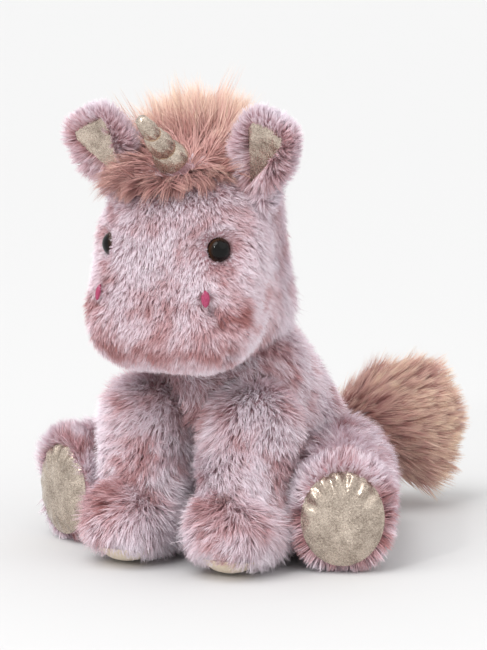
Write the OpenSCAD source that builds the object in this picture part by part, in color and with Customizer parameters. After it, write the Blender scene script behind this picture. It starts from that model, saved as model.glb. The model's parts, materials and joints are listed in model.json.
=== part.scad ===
// Seated plush unicorn, built as it is sewn: pile panels over stuffing, with soft joints.
// Millimetres. +Z up, the face looks along -Y, the toy's left side is +X.
// The origin is the centre of the flat seat, on the surface that the toy sits on.

/* [Fabric] */
// Thickness of the pile fabric, backing and squeezed pile together
pile = 5; // [3:0.5:6]
// Gap left between two soft bodies that move against each other
soft_gap = 0.5; // [0.4:0.1:0.8]
// Facets around a rounded soft form
soft_facets = 20; // [16:4:32]

/* [Torso] */
// Radius of the seat bulge
seat_r = 62; // [58:1:64]
// Height of the seat bulge's centre
seat_z = 50; // [46:1:54]
// Radius of the back
back_r = 54; // [50:1:58]
// Radius of the flat seat gusset
gusset_r = 32; // [24:1:34]
// Distance of the neck pivot ahead of the seat
neck_ahead = 54; // [50:1:58]
// Height of the neck pivot
neck_z = 112; // [110:1:116]
// Radius of the shoulders under the head
neck_r = 53.6; // [50:0.2:54]

/* [Head] */
// Radius that rounds the crown
crown_r = 46; // [44:1:50]
// Half of the crown's extra width
crown_side = 4; // [2:1:8]
// Half of the crown's extra length
crown_reach = 15; // [8:1:16]
// Height of the crown's centre
crown_z = 211; // [208:1:216]
// Radius that rounds the muzzle
muzzle_r = 31; // [28:1:33]
// Half of the muzzle's extra width
muzzle_side = 22; // [16:1:24]
// Half of the width of the strip between the two side panels
gusset_half_w = 20; // [14:1:26]
// Diameter of the dome of an eye
eye_d = 15; // [12:0.5:18]

/* [Ears and horn] */
// Height of an ear above its root
ear_h = 52; // [44:1:58]
// Half of the width of an ear at its widest
ear_half_w = 17; // [12:1:20]
// Thickness of an ear
ear_t = 12; // [10:1:14]
// Length of the horn
horn_l = 44; // [36:1:52]
// Radius of the horn at its base
horn_r = 11.5; // [9:0.5:13]
// Number of stuffed rings on the horn
horn_rings = 3; // [2:1:5]

/* [Legs] */
// Distance of a front leg from the middle
front_x = 36.5; // [36:0.5:39]
// Radius of a shoulder
shoulder_r = 31; // [28:1:32]
// Radius of a front paw
paw_r = 27; // [25:1:28]
// Radius of a hip
hip_r = 38; // [34:1:39]
// Radius of a hind foot
foot_r = 31; // [28:0.5:32]
// Angle of a hind leg outward from straight ahead
splay = 26; // [20:1:28]
// Length of a hind leg from its hip to the middle of its foot
hind_l = 104; // [100:1:110]
// Width of the metallic pad on a hind foot
pad_w = 52; // [44:1:54]

/* [Tail] */
// Length of the tail from its root to the middle of its fan
tail_l = 88; // [80:1:92]
// Direction of the tail, from the toy's left round to straight behind
tail_turn = 38; // [36:1:90]

/* [Hidden] */

far = 400;
plush_colour = [0.80, 0.68, 0.72];
hair_colour = [0.66, 0.47, 0.43];
metal_cloth_colour = [0.73, 0.65, 0.57];
stuffing_colour = [0.96, 0.95, 0.92];
cream_colour = [0.87, 0.80, 0.71];
pellet_colour = [0.86, 0.88, 0.90];

neck = [0, -neck_ahead, neck_z];
back = [0, -14, 80];
collar_in_r = neck_r + 0.4;
collar_out_r = collar_in_r + 1.6;
head_cup_r = collar_out_r + 0.4;
collar_edge_z = 50;

crown = [0, -95, crown_z];
jaw = [0, -64, 172];
jaw_r = 48;
muzzle = [0, -131, 160];
face_turn = 50;
eye_spot = [38, -139.8, 204.5];
nostril_spot = [36, -155.5, 176.5];
nostril_turn = 31;
nostril_tilt = 13;
shank_r = 2;
shank_l = 13;
washer_r = 6.5;

ear_root = [43, -103, 238];
ear_root_r = 8;
ear_root_w = 24;
ear_lean = 26;
ear_forward = 19;
lining_t = 2;

horn_base = [0, -125, 254.5];
horn_side = 13;
horn_pitch = 47;
horn_ball_r = 8;
horn_cover_t = 1.5;

shoulder = [front_x, -92, 88];
knee = [front_x, -101, 48];
knee_r = 26;
heel = [front_x, -100, paw_r];
toe = [front_x, -122, paw_r - 0.5];
sole_t = 6;
sole_rise = 10;

hip = [50, 8, hip_r + 4];
foot_low = [hip.x + hind_l * sin(splay), hip.y - hind_l * cos(splay), foot_r + 0.6];
foot_tall = 14;
pad_up = 4;
pad_side = 4;
foot_flat = 13;
pad_t = 3;

tail_pivot = [0, 59, 52];
tail_root_r = 9;
tail_fan = 25;

// A soft form from a list of [centre, radius] balls, pulled in or swollen by grow.
module soft_form(balls, grow = 0) {
    hull()
        for (b = balls)
            translate(b[0])
                sphere(r = b[1] + grow, $fn = soft_facets);
}

// Everything on the far side of a plane through point, whose normal is +Z turned by angles.
module half_space(point, angles) {
    translate(point)
        rotate(angles)
            translate([-far, -far, 0])
                cube([2 * far, 2 * far, far]);
}

// ---- Torso ----

torso_balls = [[[0, 0, seat_z], seat_r], [back, back_r], [neck, neck_r]];

module torso_form(grow = 0) {
    difference() {
        soft_form(torso_balls, grow);
        half_space([0, 0, -grow], [180, 0, 0]);
    }
}

module shoulder_socket() {
    translate(shoulder) {
        sphere(r = shoulder_r + soft_gap, $fn = 64);
        translate([0, 0, -far / 4])
            cylinder(r = shoulder_r + soft_gap, h = far / 4, $fn = 64);
    }
}

// Wider than the leg, and tilted down along it.
module hip_socket() {
    translate(hip) {
        sphere(r = hip_r + soft_gap, $fn = 64);
        rotate([90 + atan2(hip.z - foot_low.z - foot_tall / 2, hind_l), 0, splay])
            cylinder(r1 = hip_r + soft_gap + 0.6, r2 = foot_r + foot_tall / 2 + 2, h = hind_l, $fn = 64);
    }
}

module tail_socket() {
    at_tail() {
        sphere(r = tail_root_r + soft_gap, $fn = 48);
        rotate([0, 90, 0])
            cylinder(r = 7.5, h = 30, $fn = 48);
    }
}

module limb_sockets() {
    for (side = [0, 1])
        mirror([side, 0, 0]) {
            shoulder_socket();
            hip_socket();
        }
    tail_socket();
}

module torso_shell() {
    difference() {
        torso_form();
        torso_form(-pile);
        limb_sockets();
        translate([0, 0, -1])
            cylinder(r = gusset_r, h = pile + 2, $fn = 64);
    }
}

module side_panel(side) {
    color(plush_colour)
        intersection() {
            torso_shell();
            translate([side > 0 ? 0 : -far, -neck_ahead, 0])
                cube([far, far, far]);
        }
}

module chest_panel() {
    color(plush_colour)
        intersection() {
            torso_shell();
            translate([-far / 2, -neck_ahead - far, 0])
                cube([far, far, far]);
        }
}

module seat_gusset() {
    color(plush_colour)
        cylinder(r = gusset_r, h = pile, $fn = 64);
}

module seat_bag_form() {
    translate([0, -26, 25])
        sphere(r = 17, $fn = 48);
}

module torso_stuffing() {
    color(stuffing_colour)
        difference() {
            torso_form(-pile);
            limb_sockets();
            seat_bag_form();
        }
}

module seat_pellet_bag() {
    color(pellet_colour)
        seat_bag_form();
}

module neck_collar() {
    color(plush_colour)
        translate(neck)
            difference() {
                sphere(r = collar_out_r, $fn = 96);
                sphere(r = collar_in_r, $fn = 96);
                translate([-far, -far, collar_edge_z - 2 * far])
                    cube(2 * far);
            }
}

// ---- Head ----

head_balls = concat(
    [for (sx = [-1, 1], sy = [-1, 1]) [crown + [sx * crown_side, sy * crown_reach, 0], crown_r]],
    [for (sx = [-1, 1]) [muzzle + [sx * muzzle_side, 0, 0], muzzle_r]],
    [[jaw, jaw_r]]);

module at_eye(side) {
    translate([side * eye_spot.x, eye_spot.y, eye_spot.z])
        rotate([90, 0, side * face_turn])
            children();
}

module head_hollows() {
    translate(neck)
        sphere(r = head_cup_r, $fn = 96);
    translate(back + [0, 4, 14])
        sphere(r = back_r + 3, $fn = 96);
    translate(horn_base)
        sphere(r = horn_ball_r + soft_gap, $fn = 48);
    at_horn()
        translate([0, 0, 1.5])
            cylinder(r = horn_r + 2.5, h = horn_l, $fn = 48);
    for (side = [-1, 1]) {
        at_ear(side)
            ear_root_bar(soft_gap);
        at_eye(side) {
            translate([0, 0, -shank_l])
                cylinder(r = shank_r, h = 2 * shank_l, $fn = 32);
            translate([0, 0, 0.2])
                cylinder(d = eye_d + 0.6, h = shank_l, $fn = 64);
        }
    }
}

module head_shell() {
    difference() {
        soft_form(head_balls);
        soft_form(head_balls, -pile);
        head_hollows();
    }
}

module face_panel(side) {
    color(plush_colour)
        intersection() {
            head_shell();
            translate([side > 0 ? gusset_half_w : -gusset_half_w - far, -far, 0])
                cube([far, 2 * far, far]);
        }
}

module gusset_strip(low, high) {
    color(plush_colour)
        intersection() {
            head_shell();
            translate([-gusset_half_w, -far, low])
                cube([2 * gusset_half_w, 2 * far, high - low]);
        }
}

module crown_gusset() {
    gusset_strip(muzzle.z - 14, far);
}

module chin_gusset() {
    gusset_strip(0, muzzle.z - 14);
}

module head_stuffing() {
    color(stuffing_colour)
        difference() {
            soft_form(head_balls, -pile);
            head_hollows();
            for (side = [-1, 1])
                eye_washer_form(side);
        }
}

module eye_washer_form(side) {
    at_eye(side)
        translate([0, 0, -9])
            cylinder(r = washer_r, h = 1.6, $fn = 48);
}

module eye_washer(side) {
    color("white")
        difference() {
            eye_washer_form(side);
            at_eye(side)
                translate([0, 0, -10])
                    cylinder(r = shank_r, h = 4, $fn = 32);
        }
}

// A dome on a flat back, with a ribbed-washer shank behind it.
module eye(side) {
    color([0.06, 0.045, 0.04])
        at_eye(side) {
            intersection() {
                translate([0, 0, 1])
                    sphere(d = eye_d, $fn = 64);
                translate([0, 0, 0.5])
                    cylinder(d = eye_d, h = eye_d, $fn = 64);
            }
            translate([0, 0, 1 - shank_l])
                cylinder(r = shank_r, h = shank_l, $fn = 32);
        }
}

// A small embroidered oval, raised on the upper corner of the muzzle.
module nostril(side) {
    color([0.72, 0.22, 0.40])
        mirror([side < 0 ? 1 : 0, 0, 0])
            translate(nostril_spot)
                rotate([90 - nostril_tilt, 0, nostril_turn])
                    for (half = [-1, 1])
                        translate([0, half * 2, 0.5])
                            cylinder(r = 3, h = 1.2, $fn = 32);
}

// ---- Mane: long pile that fans out around the horn and runs down behind ----

forelock_balls = [
    [[0, -96, 256], 24], [[4, -94, 288], 14], [[-26, -112, 262], 13],
    [[18, -104, 264], 12], [[0, -118, 250], 14]];
nape_balls = [[[0, -72, 256], 14], [[0, -42, 236], 12], [[0, -24, 206], 10]];
mane_part_y = -76;

module mane_hair(balls) {
    color(hair_colour)
        difference() {
            soft_form(balls);
            soft_form(head_balls);
            at_horn()
                cylinder(r1 = horn_r + 4, r2 = 24, h = far / 4, $fn = 48);
            translate(horn_base)
                sphere(r = horn_r + 4, $fn = 48);
            for (side = [-1, 1])
                at_ear(side)
                    translate([-ear_half_w - 7, -12, -8])
                        cube([2 * ear_half_w + 14, 24, ear_h + 20]);
        }
}

module mane_forelock() {
    intersection() {
        mane_hair(forelock_balls);
        half_space([0, mane_part_y, 0], [90, 0, 0]);
    }
}

module mane_nape() {
    intersection() {
        mane_hair(nape_balls);
        half_space([0, mane_part_y, 0], [-90, 0, 0]);
    }
}

// ---- Ears: a folded pile back with a metallic lining, hinged along the root seam ----

module at_ear(side) {
    mirror([side < 0 ? 1 : 0, 0, 0])
        translate(ear_root)
            rotate([ear_forward, ear_lean, 0])
                children();
}

module ear_root_bar(grow = 0) {
    rotate([0, 90, 0])
        cylinder(r = ear_root_r + grow, h = ear_root_w + 2 * grow, center = true, $fn = 48);
}

ear_balls = concat(
    [for (s = [-1, 1]) [[s * (ear_half_w - 7), 0, ear_h - 6], ear_t / 2]],
    [for (s = [-1, 1]) [[s * (ear_half_w - 6), 0, ear_h * 0.52], ear_t / 2 + 0.5]],
    [[[0, 0, 4], ear_t / 2 + 1]]);

module lining_form() {
    translate([0, -ear_t / 2 + 1.2, 0])
        rotate([90, 0, 0])
            linear_extrude(height = lining_t)
                offset(r = 2, $fn = 24)
                    polygon([[0, 8], [ear_half_w - 7, ear_h * 0.56], [ear_half_w - 8.5, ear_h - 9],
                        [8.5 - ear_half_w, ear_h - 9], [7 - ear_half_w, ear_h * 0.56]]);
}

module ear_plush(side) {
    color(plush_colour)
        at_ear(side)
            difference() {
                union() {
                    soft_form(ear_balls);
                    ear_root_bar();
                }
                lining_form();
            }
}

module ear_lining(side) {
    color(metal_cloth_colour)
        at_ear(side)
            lining_form();
}

// ---- Horn: a stuffed cone drawn into rings by a wound thread ----

module at_horn() {
    translate(horn_base)
        rotate([0, -horn_side, 0])
            rotate([horn_pitch, 0, 0])
                children();
}

steps = 10;

// Radius of the horn at a height: a taper times one bulge for each ring.
function horn_at(z) =
    (horn_r + (3.6 - horn_r) * z / horn_l)
    * (0.80 + 0.20 * abs(sin(180 * horn_rings * z / horn_l)));

function horn_outline(inset, start) = concat(
    [[0, start]],
    [for (i = [0 : horn_rings * steps - 2])
        let (z = start + (horn_l - start) * i / (horn_rings * steps)) [horn_at(z) - inset, z]],
    [[0, horn_l - inset]]);

horn_start = 4;

module horn_cover() {
    color(metal_cloth_colour)
        at_horn()
            difference() {
                union() {
                    rotate_extrude($fn = 64)
                        polygon(horn_outline(0, horn_start));
                    sphere(r = horn_ball_r, $fn = 48);
                }
                rotate_extrude($fn = 64)
                    polygon(horn_outline(horn_cover_t, horn_start + horn_cover_t));
                horn_grooves();
            }
}

module horn_stuffing() {
    color(stuffing_colour)
        at_horn()
            rotate_extrude($fn = 64)
                polygon(horn_outline(horn_cover_t, horn_start + horn_cover_t));
}

module horn_grooves() {
    for (i = [1 : horn_rings - 1])
        translate([0, 0, horn_l * i / horn_rings])
            rotate_extrude($fn = 64)
                translate([horn_at(horn_l * i / horn_rings), 0])
                    circle(r = 0.7, $fn = 24);
}

module horn_thread() {
    color([0.80, 0.74, 0.66])
        at_horn()
            horn_grooves();
}

// ---- Front legs ----

front_upper_balls = [[shoulder, shoulder_r], [knee, knee_r]];
front_paw_balls = [[heel, paw_r], [toe, paw_r - 0.5]];

module on_side(side) {
    mirror([side < 0 ? 1 : 0, 0, 0])
        children();
}

module front_leg_form(grow = 0) {
    soft_form(front_upper_balls, grow);
    soft_form(front_paw_balls, grow);
}

module sole_space() {
    half_space([front_x, heel.y, sole_t], [180 - sole_rise, 0, 0]);
}

module front_leg_plush(side) {
    color(plush_colour)
        on_side(side)
            difference() {
                front_leg_form();
                front_leg_form(-pile);
                sole_space();
            }
}

module front_leg_stuffing(side) {
    color(stuffing_colour)
        on_side(side)
            difference() {
                front_leg_form(-pile);
                sole_space();
            }
}

module front_sole(side) {
    color(cream_colour)
        on_side(side)
            intersection() {
                soft_form(front_paw_balls);
                sole_space();
            }
}

// ---- Hind legs ----

hind_balls = [[hip, hip_r], [foot_low, foot_r], [foot_low + [0, 0, foot_tall], foot_r]];

module at_foot() {
    translate(foot_low + [0, 0, pad_up])
        rotate([90, 0, splay])
            children();
}

module beyond_foot(extra = 0) {
    at_foot()
        translate([-far, -far, foot_flat + extra])
            cube([2 * far, 2 * far, far]);
}

// The pad's outline is two arcs joined by short straight sides.
module pad_form(grow = 0) {
    at_foot()
        translate([0, 0, foot_flat - pad_t])
            linear_extrude(height = pad_t + grow) {
                for (s = [-1, 1])
                    translate([0, s * pad_side])
                        circle(d = pad_w, $fn = 64);
                square([pad_w, 2 * pad_side], center = true);
            }
}

module foot_bag_form() {
    at_foot()
        translate([0, -6, -foot_flat])
            sphere(r = 15, $fn = 48);
}

module hind_leg_plush(side) {
    color(plush_colour)
        on_side(side)
            difference() {
                soft_form(hind_balls);
                difference() {
                    soft_form(hind_balls, -pile);
                    beyond_foot(-pad_t);
                }
                beyond_foot();
                pad_form(1);
            }
}

module hind_leg_stuffing(side) {
    color(stuffing_colour)
        on_side(side)
            difference() {
                soft_form(hind_balls, -pile);
                beyond_foot(-pad_t);
                foot_bag_form();
            }
}

module foot_pellet_bag(side) {
    color(pellet_colour)
        on_side(side)
            foot_bag_form();
}

module hind_pad(side) {
    color(metal_cloth_colour)
        on_side(side)
            pad_form();
}

// ---- Tail ----

module at_tail() {
    translate(tail_pivot)
        rotate([0, 0, tail_turn])
            children();
}

tail_balls = [
    [[22, 0, 0], 9], [[tail_l - 30, 0, 12], 28], [[tail_l - 5, 0, 5 - tail_fan], 15],
    [[tail_l - 5, 0, 5 + tail_fan], 15], [[tail_l + 12, 0, 6], 12]];

module tail_hair() {
    color(hair_colour)
        at_tail()
            difference() {
                soft_form(tail_balls);
                rotate([0, 90, 0])
                    cylinder(r = 5, h = 30, $fn = 32);
            }
}

module tail_root() {
    color(plush_colour)
        at_tail()
            rotate([0, 90, 0]) {
                sphere(r = tail_root_r, $fn = 48);
                cylinder(r = 5, h = 30, $fn = 32);
            }
}

side_panel(1);  // side_panel_left
side_panel(-1);  // side_panel_right
chest_panel();
seat_gusset();
torso_stuffing();
seat_pellet_bag();
neck_collar();
face_panel(1);  // face_panel_left
face_panel(-1);  // face_panel_right
crown_gusset();
chin_gusset();
head_stuffing();
mane_forelock();
mane_nape();
eye(1);  // eye_left
eye(-1);  // eye_right
eye_washer(1);  // eye_washer_left
eye_washer(-1);  // eye_washer_right
nostril(1);  // nostril_left
nostril(-1);  // nostril_right
ear_plush(1);  // ear_plush_left
ear_plush(-1);  // ear_plush_right
ear_lining(1);  // ear_lining_left
ear_lining(-1);  // ear_lining_right
horn_cover();
horn_stuffing();
horn_thread();
front_leg_plush(1);  // front_leg_plush_left
front_leg_plush(-1);  // front_leg_plush_right
front_leg_stuffing(1);  // front_leg_stuffing_left
front_leg_stuffing(-1);  // front_leg_stuffing_right
front_sole(1);  // front_sole_left
front_sole(-1);  // front_sole_right
hind_leg_plush(1);  // hind_leg_plush_left
hind_leg_plush(-1);  // hind_leg_plush_right
hind_leg_stuffing(1);  // hind_leg_stuffing_left
hind_leg_stuffing(-1);  // hind_leg_stuffing_right
hind_pad(1);  // hind_pad_left
hind_pad(-1);  // hind_pad_right
foot_pellet_bag(1);  // foot_pellet_bag_left
foot_pellet_bag(-1);  // foot_pellet_bag_right
tail_hair();
tail_root();
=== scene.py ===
"""Looks of a seated plush unicorn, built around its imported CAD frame.

Each stuffed form is a skin remeshed from the CAD solids, and its pile is real geometry: tapered fibres
rooted on that skin. The pile of the torso and the head is cut into several pieces, to keep each mesh small.
All lengths are in metres.
"""

import json
import math

import bmesh
import bpy
import numpy as np
from mathutils import Matrix, Vector
from mathutils.bvhtree import BVHTree
from mathutils.kdtree import KDTree

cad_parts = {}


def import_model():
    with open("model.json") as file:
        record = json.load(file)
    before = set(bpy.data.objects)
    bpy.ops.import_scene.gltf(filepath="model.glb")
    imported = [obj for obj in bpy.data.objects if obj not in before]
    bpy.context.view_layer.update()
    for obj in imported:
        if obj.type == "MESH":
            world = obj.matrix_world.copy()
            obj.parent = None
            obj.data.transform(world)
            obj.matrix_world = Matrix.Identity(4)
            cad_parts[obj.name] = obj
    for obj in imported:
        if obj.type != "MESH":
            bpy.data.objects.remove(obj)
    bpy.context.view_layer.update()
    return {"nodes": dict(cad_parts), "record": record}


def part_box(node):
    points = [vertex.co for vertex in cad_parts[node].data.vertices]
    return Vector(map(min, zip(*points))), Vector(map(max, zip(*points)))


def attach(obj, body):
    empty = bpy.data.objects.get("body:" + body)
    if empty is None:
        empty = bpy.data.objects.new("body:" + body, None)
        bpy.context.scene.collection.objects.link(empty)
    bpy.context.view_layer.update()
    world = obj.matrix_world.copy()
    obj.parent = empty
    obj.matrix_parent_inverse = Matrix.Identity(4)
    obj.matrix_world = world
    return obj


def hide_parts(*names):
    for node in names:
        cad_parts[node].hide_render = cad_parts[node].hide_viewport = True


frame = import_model()

DENSITY = 1.0  # share of the fibres that are made
PIVOT = {j["name"]: np.array(Vector(j["pos_m"])) for j in frame["record"]["behaviour"]["joints"]}
NECK = PIVOT["neck_turn"]
SIDES = {"left": 1, "right": -1}
# Fibres in each kind of pile. A fibre of 3 steps is 5 triangles. Each piece is kept under 200,000 triangles,
# because the exporter thins the STL of a larger one.
FIBRES = {"torso": 76000, "head": 130000, "forelock": 18000, "nape": 9000, "ear": 15000,
          "front_leg": 39000, "hind_leg": 39000, "tail": 22000}
EYE_RADIUS = 0.0075
NECK_CLEAR = 0.0595  # no hair grows on the head within this distance of the neck joint
SKIN_FLOOR, FIBRE_FLOOR = 0.0012, 0.0006  # the lowest that the torso's skin and any fibre may reach


def centre_of(node):
    low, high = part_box(node)
    return (low + high) / 2


def linked(name, data):
    """A new object of that data, in the scene."""
    obj = bpy.data.objects.new(name, data)
    bpy.context.scene.collection.objects.link(obj)
    return obj


# ---- camera, floor and light

def toward(azimuth, elevation):
    """The direction from the toy to a camera or light: azimuth is 0 in front of it and grows to its left."""
    a, e = math.radians(azimuth), math.radians(elevation)
    return Vector((math.sin(a) * math.cos(e), -math.cos(a) * math.cos(e), math.sin(e)))


def make_camera(azimuth=26.0, elevation=8.5, distance=1.6, aim=(-0.0069, -0.0154, 0.1393), lens=134.25):
    back = toward(azimuth, elevation)
    data = bpy.data.cameras.new("camera")
    data.lens = lens
    data.sensor_width = 36
    data.clip_start, data.clip_end = 0.05, 200
    camera = linked("camera", data)
    camera.location = Vector(aim) + back * distance
    camera.rotation_euler = (-back).to_track_quat("-Z", "Y").to_euler()
    bpy.context.scene.camera = camera


def make_sun(name, azimuth, elevation, strength, angle):
    """A soft sun that shines from that direction."""
    data = bpy.data.lights.new(name, "SUN")
    data.energy, data.angle = strength, math.radians(angle)
    light = linked(name, data)
    light.rotation_euler = toward(azimuth, elevation).to_track_quat("Z", "Y").to_euler()


def make_studio():
    make_sun("key_light", -20, 58, 1.5, 40)
    make_sun("side_light", 80, 40, 0.4, 60)
    data = bpy.data.lights.new("eye_light", "AREA")
    data.energy, data.shape, data.size = 4.5, "DISK", 0.12
    spot = linked("eye_light", data)
    spot.location = (-0.10, -1.45, 0.95)
    spot.rotation_euler = (spot.location - Vector((0, -0.1, 0.2))).to_track_quat("Z", "Y").to_euler()

    world = bpy.data.worlds.new("studio")
    world.use_nodes = True
    world.node_tree.nodes["Background"].inputs["Color"].default_value = (1.0, 1.0, 1.0, 1)
    world.node_tree.nodes["Background"].inputs["Strength"].default_value = 0.93
    bpy.context.scene.world = world
    bpy.context.scene.view_settings.view_transform = "Standard"

    mesh = bpy.data.meshes.new("floor")
    radius, around = 60, 64
    rim = [(radius * math.cos(k * math.tau / around), radius * math.sin(k * math.tau / around), 0)
           for k in range(around)]
    mesh.from_pydata(rim, [], [list(range(around))])
    floor = linked("floor", mesh)
    paint = Paint("floor_paper")
    paint.set("Base Color", (0.655, 0.655, 0.655, 1))
    paint.set("Roughness", 0.9)
    paint.set("Specular IOR Level", 0.1)
    mesh.materials.append(paint.material)


# ---- materials

class Paint:
    """A material with one Principled shader, and short ways to add nodes."""

    def __init__(self, name):
        self.material = bpy.data.materials.new(name)
        self.material.use_nodes = True
        self.tree = self.material.node_tree
        self.shader = self.tree.nodes["Principled BSDF"]

    def set(self, socket, value):
        self.shader.inputs[socket].default_value = value

    def link(self, output, socket):
        self.tree.links.new(output, self.shader.inputs[socket])

    def node(self, kind, inputs=None, **settings):
        made = self.tree.nodes.new(kind)
        for key, value in settings.items():
            setattr(made, key, value)
        for key, value in (inputs or {}).items():
            if isinstance(value, bpy.types.NodeSocket):
                self.tree.links.new(value, made.inputs[key])
            else:
                made.inputs[key].default_value = value
        return made

    def where(self):
        """Coordinates in the piece's own space, in metres."""
        return self.node("ShaderNodeTexCoord").outputs["Object"]

    def noise(self, size, detail=3.0, where=None):
        """Noise whose features are about size metres across."""
        made = self.node("ShaderNodeTexNoise", {"Vector": where or self.where(), "Scale": 1 / size,
                                                "Detail": detail, "Roughness": 0.5})
        return made.outputs["Fac"]

    def math(self, operation, a, b=0.0):
        return self.node("ShaderNodeMath", {0: a, 1: b}, operation=operation).outputs[0]

    def ramp(self, factor, stops):
        """A colour ramp; each stop is (place, colour)."""
        made = self.node("ShaderNodeValToRGB", {"Fac": factor})
        elements = made.color_ramp.elements
        while len(elements) < len(stops):
            elements.new(0.5)
        for element, (place, colour) in zip(elements, stops):
            element.position, element.color = place, (*colour, 1)
        return made.outputs["Color"]

    def mix(self, factor, a, b):
        made = self.node("ShaderNodeMix", data_type="RGBA")
        for key, value in (("Factor", factor), ("A", a), ("B", b)):
            socket = next(s for s in made.inputs
                          if s.name == key and s.enabled and (s.type == "RGBA" or key == "Factor"))
            if isinstance(value, bpy.types.NodeSocket):
                self.tree.links.new(value, socket)
            else:
                socket.default_value = value
        return next(s for s in made.outputs if s.type == "RGBA" and s.enabled)

    def bump(self, height, distance, strength=1.0, after=None):
        inputs = {"Height": height, "Distance": distance, "Strength": strength}
        if after is not None:
            inputs["Normal"] = after
        return self.node("ShaderNodeBump", inputs).outputs["Normal"]


def rgb(red, green, blue):
    """Linear colour from display values of 0 to 255."""
    return tuple((c / 255 / 12.92) if c <= 10 else ((c / 255 + 0.055) / 1.055) ** 2.4
                 for c in (red, green, blue))


def fibre_paint(name, root, tip, turn=(0.12, 0.88), roughness=0.55, sheen=0.35, tint=(1, 0.93, 0.95)):
    """Pile colour from the fibre map: the shade runs across it, and the way from root to tip runs up it.

    root and tip are each a list of (shade, colour) stops, and turn is where along the fibre the one
    gives way to the other."""
    paint = Paint(name)
    place = paint.node("ShaderNodeUVMap", uv_map=FIBRE_MAP).outputs["UV"]
    axes = paint.node("ShaderNodeSeparateXYZ", {"Vector": place})
    along = paint.node("ShaderNodeMapRange", {"Value": axes.outputs["Y"], "From Min": turn[0],
                                               "From Max": turn[1]},
                       interpolation_type="SMOOTHSTEP").outputs["Result"]
    colour = paint.mix(along, paint.ramp(axes.outputs["X"], root), paint.ramp(axes.outputs["X"], tip))
    paint.link(colour, "Base Color")
    paint.set("Roughness", roughness)
    paint.set("Specular IOR Level", 0.35)
    paint.set("Sheen Weight", sheen)
    paint.set("Sheen Roughness", 0.4)
    paint.set("Sheen Tint", (*tint, 1))
    return paint.material


def backing_paint(name, dark, light):
    """The knitted backing that shows between the roots."""
    paint = Paint(name)
    paint.link(paint.mix(paint.noise(0.012), (*dark, 1), (*light, 1)), "Base Color")
    paint.link(paint.bump(paint.noise(0.0009, 2), 0.0004), "Normal")
    paint.set("Roughness", 0.9)
    paint.set("Specular IOR Level", 0.2)
    return paint.material


def metal_cloth_paint(name, dull, bright):
    """Knitted cloth with a cracked metallic foil: a fine knit, small crazed flakes and soft creases."""
    paint = Paint(name)
    where = paint.where()
    flakes = paint.node("ShaderNodeTexVoronoi", {"Vector": where, "Scale": 1 / 0.0007})
    flake = paint.node("ShaderNodeSeparateColor", {"Color": flakes.outputs["Color"]})
    patches = paint.noise(0.010, 2, where)
    shade = paint.math("ADD", paint.math("MULTIPLY", flake.outputs["Red"], 0.45), patches)
    paint.link(paint.ramp(shade, [(0.30, dull), (1.05, bright)]), "Base Color")
    paint.link(paint.node("ShaderNodeMapRange", {"Value": flake.outputs["Green"], "To Min": 0.17,
                                                 "To Max": 0.34}).outputs["Result"], "Roughness")
    knit = paint.bump(paint.noise(0.0008, 1, where), 0.00012, 0.6)
    cracked = paint.bump(paint.math("MULTIPLY", flake.outputs["Blue"], patches), 0.00015, 1.0, knit)
    paint.link(paint.bump(paint.noise(0.006, 2, where), 0.0012, 0.5, cracked), "Normal")
    paint.set("Metallic", 0.85)
    paint.set("Specular IOR Level", 0.6)
    return paint.material


def sole_paint():
    """Smooth cream short-nap cloth."""
    paint = Paint("sole_cloth")
    stops = [(0.3, rgb(226, 205, 176)), (0.7, rgb(240, 224, 200))]
    paint.link(paint.ramp(paint.noise(0.006), stops), "Base Color")
    paint.link(paint.bump(paint.noise(0.0006, 2), 0.0003), "Normal")
    paint.set("Roughness", 0.8)
    paint.set("Sheen Weight", 0.4)
    return paint.material


def eye_paint():
    """Dark glass with a brown ring near its edge. The eye's own Z is its axis."""
    paint = Paint("eye_glass")
    axes = paint.node("ShaderNodeSeparateXYZ", {"Vector": paint.where()})
    across = paint.math("SQRT", paint.math("ADD", paint.math("POWER", axes.outputs["X"], 2.0),
                                           paint.math("POWER", axes.outputs["Y"], 2.0)))
    ring = paint.math("DIVIDE", across, EYE_RADIUS)
    paint.link(paint.ramp(ring, [(0.0, rgb(8, 7, 7)), (0.72, rgb(10, 8, 7)), (0.86, rgb(34, 21, 13)),
                                 (0.95, rgb(62, 40, 22)), (1.0, rgb(24, 15, 10))]), "Base Color")
    paint.link(paint.bump(paint.noise(0.0008, 2), 0.00001, 0.2), "Normal")
    paint.set("Roughness", 0.05)
    paint.set("Specular IOR Level", 0.20)
    return paint.material


def plain_paint(name, dark, light, size, roughness, bump=0.0002):
    """A quiet two-tone finish for threads, washers and bags."""
    paint = Paint(name)
    grain = paint.noise(size, 2)
    paint.link(paint.ramp(grain, [(0.3, dark), (0.7, light)]), "Base Color")
    paint.link(paint.bump(grain, bump), "Normal")
    paint.set("Roughness", roughness)
    return paint.material


# ---- mesh helpers

def add_piece(mesh, material, body, replaces=(), place=None):
    """A smooth-shaded piece named after its mesh, riding on that body."""
    obj = linked(mesh.name, mesh)
    if place is not None:
        obj.matrix_world = place
    mesh.polygons.foreach_set("use_smooth", np.ones(len(mesh.polygons), dtype=bool))
    mesh.materials.clear()
    mesh.materials.append(material)
    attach(obj, body)
    if replaces:
        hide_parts(*replaces)
    return obj


def points_of(mesh):
    co = np.empty(len(mesh.vertices) * 3)
    mesh.vertices.foreach_get("co", co)
    return co.reshape(-1, 3)


def normals_of(mesh):
    out = np.empty(len(mesh.vertices) * 3)
    mesh.vertex_normals.foreach_get("vector", out)
    return out.reshape(-1, 3)


def moved(points, matrix):
    """Each row of points taken through a 4 x 4 matrix."""
    return points @ matrix[:3, :3].T + matrix[:3, 3]


def put_points(mesh, co):
    mesh.vertices.foreach_set("co", np.ascontiguousarray(co, dtype=np.float32).ravel())
    mesh.update()


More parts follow.
